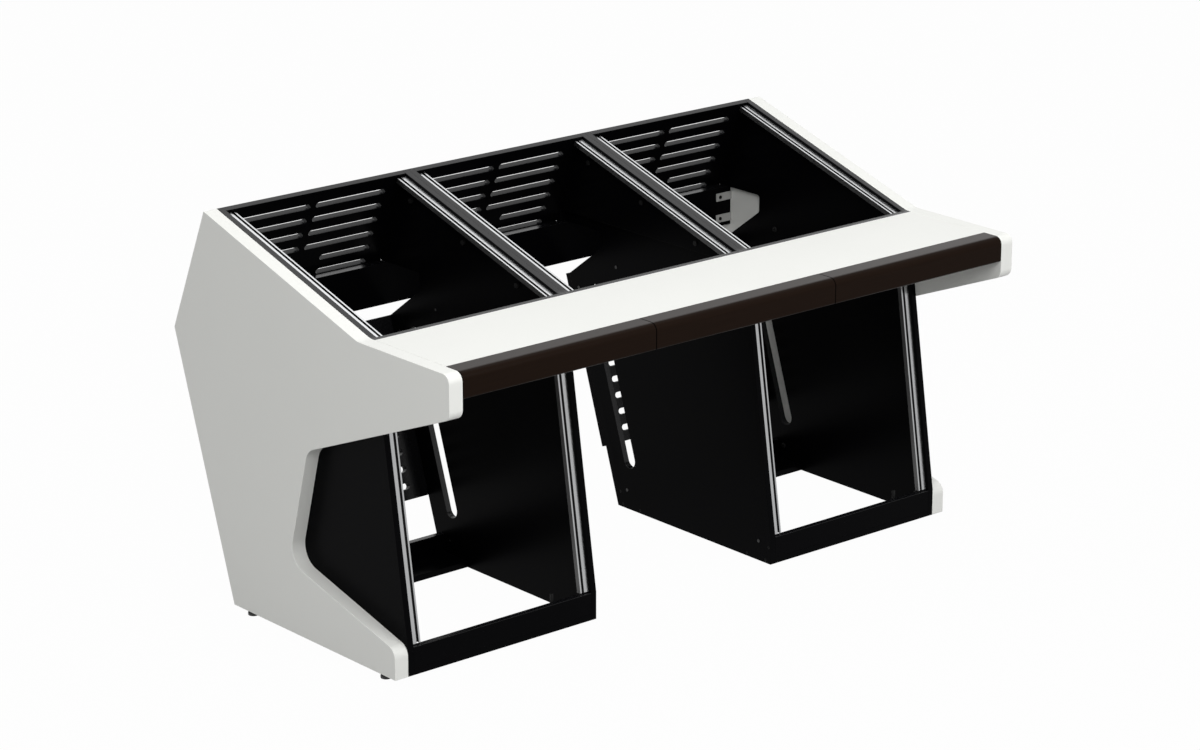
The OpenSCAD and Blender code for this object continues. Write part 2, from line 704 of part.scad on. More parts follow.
// Levelling feet and the threaded sleeves that hold them
foot_places = [
    [panel_t / 2, foot_ys[0]],
    [panel_t / 2, foot_ys[1]],
    [total_w - panel_t / 2, foot_ys[0]],
    [total_w - panel_t / 2, foot_ys[1]]
];
module foot(i) color(rubber_black) placed() translate([foot_places[i][0], foot_places[i][1], -foot_h]) {
    cylinder(h = pad_h, r = foot_r);
    cylinder(h = foot_h - sleeve_flange_t, r = collar_r);
    cylinder(h = foot_h + stem_l, r = stem_r);
}
module foot_1() foot(0);
module foot_2() foot(1);
module foot_3() foot(2);
module foot_4() foot(3);
module foot_sleeves() color(steel) placed() for (p = foot_places) translate([p[0], p[1], -sleeve_flange_t])
    difference() {
        union() {
            cylinder(h = sleeve_flange_t, r = sleeve_flange_r);
            cylinder(h = sleeve_flange_t + sleeve_l, r = sleeve_r);
        }
        translate([0, 0, -over]) cylinder(h = sleeve_flange_t + sleeve_l + 2 * over, r = stem_r + stem_fit);
    }

side_panel_left();
side_panel_right();
pedestal_side_1();
pedestal_side_2();
pedestal_side_3();
pedestal_side_4();
centre_side_left();
centre_side_right();
bay_front_left();
bay_front_middle();
bay_front_right();
back_panel_left();
back_panel_middle();
back_panel_right();
rear_beam();
beam_brackets();
bracket_screws();
worktop();
front_apron();
armrest_left();
armrest_middle();
armrest_right();
armrest_screws();
bay_rail_1();
bay_rail_2();
bay_rail_3();
bay_rail_4();
bay_rail_5();
bay_rail_6();
pedestal_rail_1();
pedestal_rail_2();
pedestal_rail_3();
pedestal_rail_4();
bay_rail_screws();
pedestal_rail_screws();
plinth_left();
plinth_right();
back_rail_left();
back_rail_right();
front_floor_left();
front_floor_right();
rear_floor_left();
rear_floor_right();
rear_cover_left();
rear_cover_right();
cover_screws();
frame_screws();
panel_bolts();
hole_plugs();
bay_bolts();
plinth_posts();
foot_1();
foot_2();
foot_3();
foot_4();
foot_sleeves();
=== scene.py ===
# %% [markdown]
# # A studio desk with sloping rack bays
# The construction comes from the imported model: every board, rail and screw already has its place there.
# This lesson dresses it. Each board gets the small eased edges that a real one has, the fasteners and
# feet get turned shapes, and every surface gets a finish made from nodes.

# %% Load the frame
import json
import math

import bmesh
import bpy
from mathutils import Matrix, Vector


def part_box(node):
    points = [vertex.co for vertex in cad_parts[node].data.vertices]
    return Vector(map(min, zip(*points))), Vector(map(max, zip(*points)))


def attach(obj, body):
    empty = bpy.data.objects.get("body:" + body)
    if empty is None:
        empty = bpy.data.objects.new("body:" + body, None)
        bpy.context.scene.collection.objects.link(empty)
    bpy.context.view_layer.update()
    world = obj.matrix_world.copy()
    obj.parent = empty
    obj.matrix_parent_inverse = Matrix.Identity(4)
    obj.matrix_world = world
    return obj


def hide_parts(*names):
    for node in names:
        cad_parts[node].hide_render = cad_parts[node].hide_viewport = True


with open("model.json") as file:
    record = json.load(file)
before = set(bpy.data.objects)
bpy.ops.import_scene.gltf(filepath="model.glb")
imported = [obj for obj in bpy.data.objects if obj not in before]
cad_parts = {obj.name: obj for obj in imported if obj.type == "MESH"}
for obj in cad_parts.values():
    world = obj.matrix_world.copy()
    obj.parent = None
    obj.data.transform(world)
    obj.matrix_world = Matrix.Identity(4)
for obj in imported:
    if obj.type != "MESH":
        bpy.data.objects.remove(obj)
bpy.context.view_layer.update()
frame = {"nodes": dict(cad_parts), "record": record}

MM = 0.001
NODES = frame["nodes"]
BODY_OF = {node: body for body, nodes in frame["record"]["behaviour"]["bodies"].items() for node in nodes}
SLOT_OF = {entry["node"]: entry["material_slot"] for entry in frame["record"]["subparts"]}

# %% [markdown]
# ## Camera
# The photograph was taken with a long lens from the front left, a little above the desk. The place and
# the angles below were found from the desk's straight edges, so they are real distances in metres.

# %% Camera
CAMERA_AT = Vector((-5.4542, -6.4158, 3.1491))
CAMERA_DOWN = math.radians(17.718)
CAMERA_TURN = math.radians(40.372)
LENS = 115.25

camera_data = bpy.data.cameras.new("photo_camera")
camera_data.lens = LENS
camera_data.sensor_width = 36.0
camera_data.sensor_fit = "HORIZONTAL"
camera = bpy.data.objects.new("photo_camera", camera_data)
camera.location = CAMERA_AT
camera.rotation_euler = (math.pi / 2 - CAMERA_DOWN, 0.0, -CAMERA_TURN)
bpy.context.scene.collection.objects.link(camera)
bpy.context.scene.camera = camera
bpy.context.scene.view_settings.view_transform = "Standard"
print("camera", [round(v, 3) for v in camera.location])

# %% [markdown]
# ## Shader sums
# Patterns are easier to read as sums than as chains of nodes. `Signal` wraps one output socket, and its
# operators add the Math nodes, so `0.4 + grain * 0.1` can be written as it is meant.

# %% Signal
class Signal:
    """One output socket that can be used in a Python sum."""

    def __init__(self, finish, socket):
        self.finish = finish
        self.socket = socket

    def _math(self, operation, other):
        return self.finish.node("ShaderNodeMath", {"operation": operation}, {0: self, 1: other})

    def __add__(self, other):
        return self._math("ADD", other)

    def __mul__(self, other):
        return self._math("MULTIPLY", other)

    __radd__ = __add__
    __rmul__ = __mul__


print("signals can be added and multiplied")

# %% [markdown]
# `Finish` holds the nodes of one material and adds every kind of node through one method, which takes
# the node's settings first and then the values or links of its sockets. The short methods below it name
# the few nodes that these finishes need, and the last ones join a shader to the material's output.

# %% Finish of a surface
class Finish:
    """The nodes of a material, or of the world, under construction."""

    def __init__(self, owner, output="ShaderNodeOutputMaterial"):
        self.owner = owner
        owner.use_nodes = True
        self.tree = owner.node_tree
        self.tree.nodes.clear()
        self.output = self.tree.nodes.new(output)

    def feed(self, socket, value):
        if isinstance(value, Signal):
            self.tree.links.new(value.socket, socket)
        else:
            socket.default_value = value

    def node(self, kind, settings=None, inputs=None, output=0):
        made = self.tree.nodes.new(kind)
        for key, value in (settings or {}).items():
            setattr(made, key, value)
        for key, value in (inputs or {}).items():
            self.feed(made.inputs[key], value)
        return Signal(self, made.outputs[output])

    def place(self, scale=(1.0, 1.0, 1.0), turn=(0.0, 0.0, 0.0)):
        spot = self.node("ShaderNodeTexCoord", output="Object")
        return self.node("ShaderNodeMapping", None, {"Vector": spot, "Rotation": turn, "Scale": scale})

    def noise(self, where, scale, detail=2.0, roughness=0.5):
        return self.node("ShaderNodeTexNoise", None,
                         {"Vector": where, "Scale": scale, "Detail": detail, "Roughness": roughness})

    def blend(self, mask, first, second):
        """A mix of two colours, whose sockets have the numbers 6 and 7, and the result the number 2."""
        return self.node("ShaderNodeMix", {"data_type": "RGBA"}, {"Factor": mask, 6: first, 7: second}, 2)

    def bump(self, height, strength, distance):
        return self.node("ShaderNodeBump", None,
                         {"Height": height, "Strength": strength, "Distance": distance})

    def ray(self, kind):
        return self.node("ShaderNodeLightPath", output=f"Is {kind} Ray")

    def show(self, shader):
        self.tree.links.new(shader.socket, self.output.inputs["Surface"])
        return self.owner

    def surface(self, **sockets):
        names = {key.replace("_", " "): value for key, value in sockets.items()}
        return self.show(self.node("ShaderNodeBsdfPrincipled", None, names))


def new_finish(name):
    return Finish(bpy.data.materials.new(name))


print("finishes can be made")

# %% [markdown]
# Blender's colours have a fourth number for how solid they are, which is always 1 here.

# %% Colours
def paint(red, green, blue):
    return (red, green, blue, 1.0)


def grey(tone):
    return paint(tone, tone, tone)


WHITE = grey(1.0)
print("white", WHITE)

# %% [markdown]
# ## Stage and light
# A pale floor and a soft world light the desk about as a product studio does. A Light Path node tells
# which kind of ray asks: to the camera, and to what glossy surfaces mirror, floor and world are white,
# while they light the desk with much less. Three broad lamps do the rest: one overhead makes the tops
# the brightest faces, one in front lights the noses of the side panels, and one from the front left
# keeps the big left panel a light grey.

# %% World
WORLD_FILL = 0.49

world = bpy.data.worlds.new("studio_world")
bpy.context.scene.world = world
air = Finish(world, "ShaderNodeOutputWorld")
seen = air.ray("Camera")
for kind in ("Glossy", "Transmission"):
    seen = air.node("ShaderNodeMath", {"operation": "MAXIMUM"}, {0: seen, 1: air.ray(kind)})
fill = air.node("ShaderNodeBackground", None, {"Color": WHITE, "Strength": WORLD_FILL})
backdrop = air.node("ShaderNodeBackground", None, {"Color": WHITE})
air.show(air.node("ShaderNodeMixShader", None, {0: seen, 1: fill, 2: backdrop}))
print("world fill", WORLD_FILL)

# %% Floor
FLOOR_HALF = 40.0
FLOOR_WHITE = 0.98
PAPER_GREY = 0.40

floor_mesh = bmesh.new()
bmesh.ops.create_grid(floor_mesh, x_segments=1, y_segments=1, size=FLOOR_HALF)
floor_data = bpy.data.meshes.new("floor")
floor_mesh.to_mesh(floor_data)
floor_mesh.free()
floor = bpy.data.objects.new("floor", floor_data)
bpy.context.scene.collection.objects.link(floor)

floor_finish = new_finish("floor_paper")
looked_at = floor_finish.ray("Camera") + floor_finish.ray("Glossy") + floor_finish.ray("Transmission")
paper = floor_finish.node("ShaderNodeBsdfDiffuse", None, {"Color": grey(PAPER_GREY)})
glow = floor_finish.node("ShaderNodeEmission", None, {"Color": WHITE, "Strength": 1.0})
floor_mix = floor_finish.node("ShaderNodeMixShader", None, {0: looked_at * FLOOR_WHITE, 1: paper, 2: glow})
floor_data.materials.append(floor_finish.show(floor_mix))
print("floor", 2 * FLOOR_HALF, "m wide")

# %% Lamps
def lamp(name, place, aim, size, power):
    """A square area lamp that looks at a point."""
    data = bpy.data.lights.new(name, "AREA")
    data.shape = "SQUARE"
    data.size = size
    data.energy = power
    made = bpy.data.objects.new(name, data)
    made.location = place
    made.rotation_euler = (Vector(aim) - Vector(place)).to_track_quat("-Z", "Y").to_euler()
    bpy.context.scene.collection.objects.link(made)


OVERHEAD_POWER = 43.0
FRONT_POWER = 75.0
LEFT_POWER = 98.0
lamp("overhead", (0.3, 0.2, 4.2), (0.0, 0.0, 0.7), 3.5, OVERHEAD_POWER)
lamp("front_high", (0.6, -4.0, 3.0), (0.0, 0.0, 0.5), 2.5, FRONT_POWER)
lamp("left_high", (-3.2, -3.4, 3.6), (0.0, 0.0, 0.5), 3.0, LEFT_POWER)
print("lamps overhead, front_high and left_high")

# %% [markdown]
# ## White coated board
# The side panels and the worktop are thick board with a smooth satin coat. Up close such a coat has a
# very fine ripple, like the skin of an orange, and its gloss changes slowly over the surface. Both come
# from noise: a fine one for the bump, a broad one for the roughness and a hint of tone.

# %% Finish white_board
def white_board():
    made = new_finish("white_board")
    where = made.place()
    broad = made.noise(where, 3.0)
    ripple = made.noise(where, 900.0, detail=1.0)
    tone = made.blend(broad, paint(0.79, 0.797, 0.765), paint(0.825, 0.83, 0.80))
    return made.surface(Base_Color=tone, Roughness=0.40 + broad * 0.10, IOR=1.42,
                        Normal=made.bump(ripple, 0.08, 0.1 * MM))


WHITE_BOARD = white_board()
print(WHITE_BOARD.name)

# %% [markdown]
# ## Black coated board
# The bays and pedestals are black board. It is nearly black but not dull: broad soft reflections slide
# over it, and the pressed coat has a faint grain that runs across the desk. The grain is noise that is
# stretched along X, and it only touches the roughness and a very shallow bump. Faces that look up get
# a finish of their own, a lighter and glossier black that is painted highlight along the top edges.

# %% Finish black_board
def black_board():
    made = new_finish("black_board")
    grain = made.noise(made.place(scale=(6.0, 160.0, 160.0)), 3.0, detail=4.0, roughness=0.6)
    broad = made.noise(made.place(), 4.0)
    tone = made.blend(grain, paint(0.0008, 0.0008, 0.0011), paint(0.0018, 0.0018, 0.0022))
    return made.surface(Base_Color=tone, Roughness=0.24 + grain * 0.08 + broad * 0.05, IOR=1.08,
                        Normal=made.bump(grain, 0.06, 0.2 * MM))


# A lighter, glossier black for faces that look up: painted highlight along the top edges.
def black_edge_painted_highlight():
    made = new_finish("black_edge_painted_highlight")
    grain = made.noise(made.place(scale=(40.0, 60.0, 60.0)), 6.0, detail=3.0)
    tone = made.blend(grain, paint(0.0035, 0.0035, 0.0042), paint(0.0065, 0.0065, 0.0075))
    return made.surface(Base_Color=tone, Roughness=0.22 + grain * 0.08, IOR=1.37,
                        Normal=made.bump(grain, 0.05, 0.2 * MM))


BLACK_BOARD = black_board()
BLACK_EDGE_PAINTED_HIGHLIGHT = black_edge_painted_highlight()
print(BLACK_BOARD.name, BLACK_EDGE_PAINTED_HIGHLIGHT.name)

# %% [markdown]
# ## Brown armrest
# The armrest is a dark brown stained edge with a satin lacquer. The stain leaves fine darker lines that
# follow its length, and the lacquer lets the flat top mirror the bright room at a low angle. The gloss
# is the index of refraction, so the top and the rounded front share everything else; the top's higher gloss
# is painted sheen.

# %% Finish armrest_brown
def armrest_brown(name, gloss):
    made = new_finish(name)
    lines = made.noise(made.place(scale=(1.5, 90.0, 90.0)), 4.0, detail=5.0, roughness=0.65)
    pores = made.noise(made.place(scale=(12.0, 700.0, 700.0)), 2.0, detail=2.0)
    tone = made.blend(lines, paint(0.0066, 0.0032, 0.0017), paint(0.0125, 0.0064, 0.0038))
    return made.surface(Base_Color=tone, Roughness=0.27 + lines * 0.10, IOR=gloss,
                        Normal=made.bump(lines * 0.6 + pores * 0.4, 0.10, 0.2 * MM))


ARMREST_BROWN = armrest_brown("armrest_brown", 1.10)
# The top's higher gloss is painted sheen.
ARMREST_TOP_PAINTED_SHEEN = armrest_brown("armrest_top_painted_sheen", 1.24)
print(ARMREST_BROWN.name, ARMREST_TOP_PAINTED_SHEEN.name)

# %% [markdown]
# ## Aluminium rails
# The rails are extruded, so die lines run along their length, and a satin anodised skin softens the
# mirror. A rail leans, so one Mapping node turns the pattern until Y lies along the rail, and only then
# a second one stretches the noise, because a single node would scale before it turns. The direction
# comes from the rail's own broad faces. The pedestals' rails face the dim space below the worktop, so
# their copy of the metal has a much darker base colour: painted shade.

# %% Finish rail_aluminium
SIDEWAYS = 0.1
LINES_ACROSS = 600.0
LINES_ALONG = 0.4


def rail_aluminium(name, lean, dim, bright):
    made = new_finish(name)
    laid = made.place(turn=(-lean, 0.0, 0.0))
    stretch = (LINES_ACROSS, LINES_ALONG, LINES_ACROSS)
    where = made.node("ShaderNodeMapping", None, {"Vector": laid, "Scale": stretch})
    lines = made.noise(where, 1.0, detail=1.0)
    haze = made.noise(made.place(), 12.0, detail=2.0)
    tone = made.blend(haze, dim, bright)
    return made.surface(Base_Color=tone, Metallic=1.0, Roughness=0.24 + lines * 0.06)


def rail_up(node):
    """The direction that a rail's slotted face looks in."""
    outward = [p for p in NODES[node].data.polygons if abs(p.normal.x) < SIDEWAYS]
    broadest = max(outward, key=lambda p: p.area).normal
    return broadest * math.copysign(1.0, broadest.z)


def lean_of(node):
    """The angle above the floor along which a rail runs."""
    up = rail_up(node)
    return math.atan2(-up.y, up.z)


BAY_LEAN = lean_of("bay_rail_1")
PEDESTAL_LEAN = lean_of("pedestal_rail_1")
BAY_ALUMINIUM = rail_aluminium("bay_aluminium", BAY_LEAN,
                               paint(0.70, 0.71, 0.72), paint(0.76, 0.77, 0.78))
# The pedestal rails get a much darker copy of the metal, which is painted shade.
PEDESTAL_ALUMINIUM_PAINTED_SHADE = rail_aluminium("pedestal_aluminium_painted_shade", PEDESTAL_LEAN,
                                    paint(0.38, 0.385, 0.39), paint(0.44, 0.445, 0.45))
print("rails lean", round(math.degrees(BAY_LEAN), 1), round(math.degrees(PEDESTAL_LEAN), 1))

# %% [markdown]
# ## Small metal and plastic
# The beam's brackets are coated light grey, the screws are zinc plated or blackened, and the feet and
# hole plugs are moulded plastic. They share one recipe: a base tone, a little mottling, and a bump that
# is either cast grain or plating haze. Two more finishes come from it: the painted shade on the sides of the
# rails, and the painted shade in the armrest's seams, whose gloss is so low that they mirror nothing.

# %% Finishes for the small pieces
MOTTLE_ROUGH = 0.1
PLAIN_GLOSS = 1.45


def small_finish(name, dark, light, rough, metal, grain, gloss=PLAIN_GLOSS):
    """Tones dark and light, roughness, how much it is a metal, grains per metre, index of refraction."""
    made = new_finish(name)
    mottle = made.noise(made.place(), grain, detail=3.0)
    tone = made.blend(mottle, dark, light)
    return made.surface(Base_Color=tone, Metallic=metal, Roughness=rough + mottle * MOTTLE_ROUGH, IOR=gloss,
                        Normal=made.bump(mottle, 0.08, 0.1 * MM))


BRACKET_GREY = small_finish("bracket_grey", paint(0.30, 0.30, 0.29), paint(0.36, 0.36, 0.35),
                            rough=0.42, metal=0.0, grain=500.0)
STEEL = small_finish("steel_screw", paint(0.50, 0.50, 0.49), paint(0.64, 0.64, 0.63),
                     rough=0.26, metal=1.0, grain=700.0)
DARK_SCREW = small_finish("dark_screw", grey(0.005), grey(0.012),
                          rough=0.40, metal=0.0, grain=700.0, gloss=1.20)
BLACK_PLASTIC = small_finish("black_plastic", grey(0.010), grey(0.018), rough=0.45, metal=0.0, grain=900.0)
FOOT_BLACK = small_finish("foot_black", grey(0.008), grey(0.016), rough=0.50, metal=0.0, grain=900.0)
# A darker tone of the rail metal: painted shade for the rails' sides and groove.
RAIL_SHADE = small_finish("rail_shade", grey(0.10), grey(0.13), rough=0.38, metal=1.0, grain=60.0)
# Near black with almost no gloss: painted shade for the armrest's seams.
SEAM_PAINTED_SHADE = small_finish("seam_painted_shade", grey(0.001), grey(0.002),
                         rough=0.60, metal=0.0, grain=300.0, gloss=1.02)
print("small finishes ready")

# %% [markdown]
# ## Easing edges
# No real board has a knife edge. A copy of each node is merged from loose triangles into clean faces,
# and the sharp edges around its outline are bevelled. Screw holes and the pockets for the brackets are
# left as they are: their rims form small loops of their own, so only longer runs of edges are eased.

# %% Clean copy and its sharp edges
SHARP = math.radians(30.0)
FLAT = math.radians(0.4)
LONG_LOOP = 0.15
MERGE = 0.001 * MM


def merged(node):
    """The node's mesh as a bmesh with shared vertices and flat faces joined."""
    mesh = bmesh.new()
    mesh.from_mesh(NODES[node].data)
    bmesh.ops.remove_doubles(mesh, verts=mesh.verts, dist=MERGE)
    bmesh.ops.dissolve_limit(mesh, angle_limit=FLAT, verts=mesh.verts, edges=mesh.edges)
    return mesh


def sharp_edges(mesh):
    return [e for e in mesh.edges if len(e.link_faces) == 2 and e.calc_face_angle(0.0) > SHARP]


def long_sharp_edges(mesh):
    """The sharp edges that belong to connected runs longer than LONG_LOOP."""
    sharp = sharp_edges(mesh)
    left = set(sharp)
    kept = []
    for first in sharp:
        if first not in left:
            continue
        left.discard(first)
        run, reach = [], [first]
        while reach:
            edge = reach.pop()
            run.append(edge)
            for vertex in edge.verts:
                for other in vertex.link_edges:
                    if other in left:
                        left.discard(other)
                        reach.append(other)
        if sum(e.calc_length() for e in run) > LONG_LOOP:
            kept.extend(run)
    return kept


print("edges count as sharp past", round(math.degrees(SHARP)), "degrees, runs as long past", LONG_LOOP, "m")

# %% [markdown]
# A finished piece keeps its flat faces flat and its eased edges soft, which a Weighted Normal modifier
# does. It then rides on its node's body, stands in for the node and carries the material that it is given.

# %% Finished piece
def finish_piece(mesh, name, material, body, *nodes):
    """Turns a bmesh into a piece that replaces nodes and rides on their body."""
    data = bpy.data.meshes.new(name)
    mesh.to_mesh(data)
    mesh.free()
    data.materials.append(material)
    data.shade_smooth()
    data.set_sharp_from_angle(angle=SHARP)
    piece = bpy.data.objects.new(name, data)
    bpy.context.scene.collection.objects.link(piece)
    weighted = piece.modifiers.new("even_normals", "WEIGHTED_NORMAL")
    weighted.keep_sharp = True
    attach(piece, body)
    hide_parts(*nodes)
    return piece


print("pieces can be finished")

# %% [markdown]
# The eased copy joins these steps. Some boards show a second finish on part of their faces, such as the
# painted highlight on faces that look up, so a rule may pick the faces that another material covers.

# %% Eased copy of a node
def eased(node, name, material, ease, segments, *others):
    """A copy of a node whose long edges are rounded by ease. Others are pairs of a material and the rule
    that picks the faces it covers; the first rule that fits a face counts."""
    mesh = merged(node)
    edges = long_sharp_edges(mesh)
    bmesh.ops.bevel(mesh, geom=edges, offset=ease, offset_type="OFFSET", segments=segments, profile=0.5,
                    affect="EDGES", clamp_overlap=False, material=-1)
    mesh.normal_update()
    for face in mesh.faces:
        fitting = [index for index, (_, rule) in enumerate(others, 1) if rule(face)]
        face.material_index = fitting[0] if fitting else 0
    piece = finish_piece(mesh, name, material, BODY_OF[node], node)
    for other, _ in others:
        piece.data.materials.append(other)
    return piece


print("nodes can be eased")

# %% [markdown]
# ## Side panels and worktop
# The side panels have the softest edges of the white boards, a little over a millimetre round. The
# worktop lies between them with a much crisper edge.

# %% White pieces
PANEL_EASE = 1.2 * MM
WORKTOP_EASE = 0.3 * MM

for side in ("left", "right"):
    eased(f"side_panel_{side}", f"white_side_{side}", WHITE_BOARD, PANEL_EASE, 3)
eased("worktop", "white_worktop", WHITE_BOARD, WORKTOP_EASE, 2)
print("white pieces made")

# %% [markdown]
# ## Armrest
# Three equal lengths meet at tight seams. Their ends are eased, and the end faces with their eased rims are
# painted near black as the shade in the seams, so a fine dark line shows at each seam and against the white
# panels. The flat top has a little more gloss than the rounded front, a painted sheen that makes it read
# lighter.

# %% Armrest lengths
ARMREST_EASE = 1.0 * MM
BOARD_EASE = 0.6 * MM
END_FACING = 0.25
TOP_FACING = 0.97


def at_end(face):
    return abs(face.normal.x) > END_FACING


def on_top(face):
    return face.normal.z > TOP_FACING


for part in ("left", "middle", "right"):
    eased(f"armrest_{part}", f"brown_armrest_{part}", ARMREST_BROWN, ARMREST_EASE, 2,
          (SEAM_PAINTED_SHADE, at_end), (ARMREST_TOP_PAINTED_SHEEN, on_top))
eased("front_apron", "black_apron", BLACK_BOARD, BOARD_EASE, 2)
print("armrest made")

# %% [markdown]
# ## Black boards
# The boards of the bays and pedestals come from the panel saw with their edges barely broken. The
# vented panels are milled, so the rims of their slots are eased like the outlines. Every face that looks
# up takes the lighter, glossier finish, a painted highlight that reads as a grey line from above. The floor
# plates lie flat and show their broad faces, so they keep the board's own finish.

# %% Black pieces
BLACK_NODES = [node for node, slot in sorted(SLOT_OF.items())
               if slot == "black_board" and node != "front_apron"]
UPWARD = 0.25


def looks_up(face):
    return face.normal.z > UPWARD


for node in BLACK_NODES:
    # Faces that look up take the painted highlight finish.
    painted_highlights = [] if "floor" in node else [(BLACK_EDGE_PAINTED_HIGHLIGHT, looks_up)]
    eased(node, f"black_{node}", BLACK_BOARD, BOARD_EASE, 2, *painted_highlights)
print("black pieces", len(BLACK_NODES))

# %% [markdown]
# ## Rack rails
# The extrusion's corners are nearly sharp. A third of a millimetre is enough to draw the bright lines
# along the ridges on both sides of the nut groove. Only the slotted face is bright: the sides and the
# inside of the groove look into the dark bay, so a darker tone of the metal is painted on them as shade.
# A face counts as slotted when it looks the same way as the rail and lies within a thin skin of its highest
# point.

# %% Rails
RAIL_EASE = 0.35 * MM
FACING_OUT = 0.5
SKIN = 0.6 * MM


def rack_rail(node, name, material):
    """A rail whose slotted face keeps the bright metal while the rest takes the darker tone."""
    up = rail_up(node)
    face_height = max(v.co.dot(up) for v in NODES[node].data.vertices)

    def in_shade(face):
        return face.normal.dot(up) < FACING_OUT or face.calc_center_median().dot(up) < face_height - SKIN

    return eased(node, name, material, RAIL_EASE, 2, (RAIL_SHADE, in_shade))


for number in range(1, 7):
    rack_rail(f"bay_rail_{number}", f"bay_rack_rail_{number}", BAY_ALUMINIUM)
for number in range(1, 5):
    rack_rail(f"pedestal_rail_{number}", f"pedestal_rack_rail_{number}", PEDESTAL_ALUMINIUM_PAINTED_SHADE)
print("rails made")

# %% [markdown]
# ## Brackets, posts and sleeves
# The brackets are flat strip and the posts are bar, so they are eased as the boards are. The sleeves
# sit inside the side panels with only their flanges showing, so the model's own shape stays.

# %% Small metal pieces
STRIP_EASE = 0.5 * MM

eased("beam_brackets", "grey_beam_brackets", BRACKET_GREY, STRIP_EASE, 2)
eased("plinth_posts", "dark_plinth_posts", DARK_SCREW, STRIP_EASE, 2)
for material_slot in NODES["foot_sleeves"].material_slots:
    material_slot.material = STEEL
print("brackets and posts made")

# %% [markdown]
# ## Screws and bolts
# The model holds each fastener as two plain cylinders. A turned screw with a domed head and a six-sided
# socket replaces each one. Its place is read from the model: the solid's long direction gives the axis,
# and the end with the wider ring is the head.

# %% Separate solids
def solids_of(node):
    """The vertex positions of each separate solid in a node."""
    mesh = bmesh.new()
    mesh.from_mesh(NODES[node].data)
    bmesh.ops.remove_doubles(mesh, verts=mesh.verts, dist=MERGE)
    left = set(mesh.verts)
    found = []
    for first in mesh.verts:
        if first not in left:
            continue
        left.discard(first)
        reach = [first]
        island = []
        while reach:
            vertex = reach.pop()
            island.append(vertex.co.copy())
            for edge in vertex.link_edges:
                other = edge.other_vert(vertex)
                if other in left:
                    left.discard(other)
                    reach.append(other)
        found.append(island)
    mesh.free()
    return found


print("cover screws", len(solids_of("cover_screws")))

# %% [markdown]
# A fastener can lean with its board, so its axis is measured: two points that lie far apart give a
# rough direction, and the middles of the bands of points at both ends give a better one. Parts of the
# direction that come close to 0, 1 or -1 are rounded to three digits, which takes out the last noise.
# Points nearly as far from the axis as the farthest one belong to the head.

# %% Axis of a fastener
END_SHARE = 0.02
END_BAND = 4 * MM
CLOSE = 0.01
DIGITS = 3
HEAD_SHARE = 0.9
THINNEST_SHANK = 0.2 * MM


def middle_of(points):
    return sum(points, Vector()) / len(points)


def rounded(direction):
    """The direction with its parts near 0, 1 or -1 rounded, at length one."""
    return Vector([round(v, DIGITS) if abs(abs(v) - 1) < CLOSE or abs(v) < CLOSE else v
                   for v in direction]).normalized()


def axis_of(points):
    """Head end, direction into the board, length, head radius, head height and shank radius."""
    middle = middle_of(points)
    far = max(points, key=lambda p: (p - middle).length)
    near = max(points, key=lambda p: (p - far).length)
    rough = (near - far).normalized()
    ends = [p.dot(rough) for p in points]
    lowest, highest = min(ends), max(ends)
    margin = (highest - lowest) * END_SHARE + END_BAND
    centre_a = middle_of([p for p in points if p.dot(rough) < lowest + margin])
    centre_b = middle_of([p for p in points if p.dot(rough) > highest - margin])
    along = rounded((centre_b - centre_a).normalized())
    heights = [p.dot(along) for p in points]
    radii = [((p - centre_a) - along * (p - centre_a).dot(along)).length for p in points]
    low, high = min(heights), max(heights)
    wide = max(radii)
    head = [h for h, r in zip(heights, radii) if r > wide * HEAD_SHARE]
    if min(head) - low > high - max(head):
        along, low, high = -along, -high, -low
        head = [-h for h in head]
    start = centre_a - along * (centre_a.dot(along) - low)
    shank = min(r for r in radii if r > THINNEST_SHANK)
    return start, along, high - low, wide, max(head) - low, shank


print("a frame screw points along", [round(v, 3) for v in axis_of(solids_of("frame_screws")[0])[1]])

# %% [markdown]
# The screw is drawn as half a section and spun round its axis. The small opening that is left on top is
# filled, inset and pushed down, and the points of that socket are moved onto a hexagon. Its sizes are
# shares of the head's radius or height, so one recipe fits every screw of the desk.

# %% Turned screw
TURNS = 24
DOME_SHARE = 0.55
DOME_MIDDLE = (0.92, 0.45)
DOME_TOP_R = 0.70
TOP_RIM = 0.2
SOCKET_INSET = 0.2
SOCKET_SHARE = 0.46
SOCKET_DEPTH = 0.55
SOCKET_REACH = 0.65
SIXTH = math.pi / 3


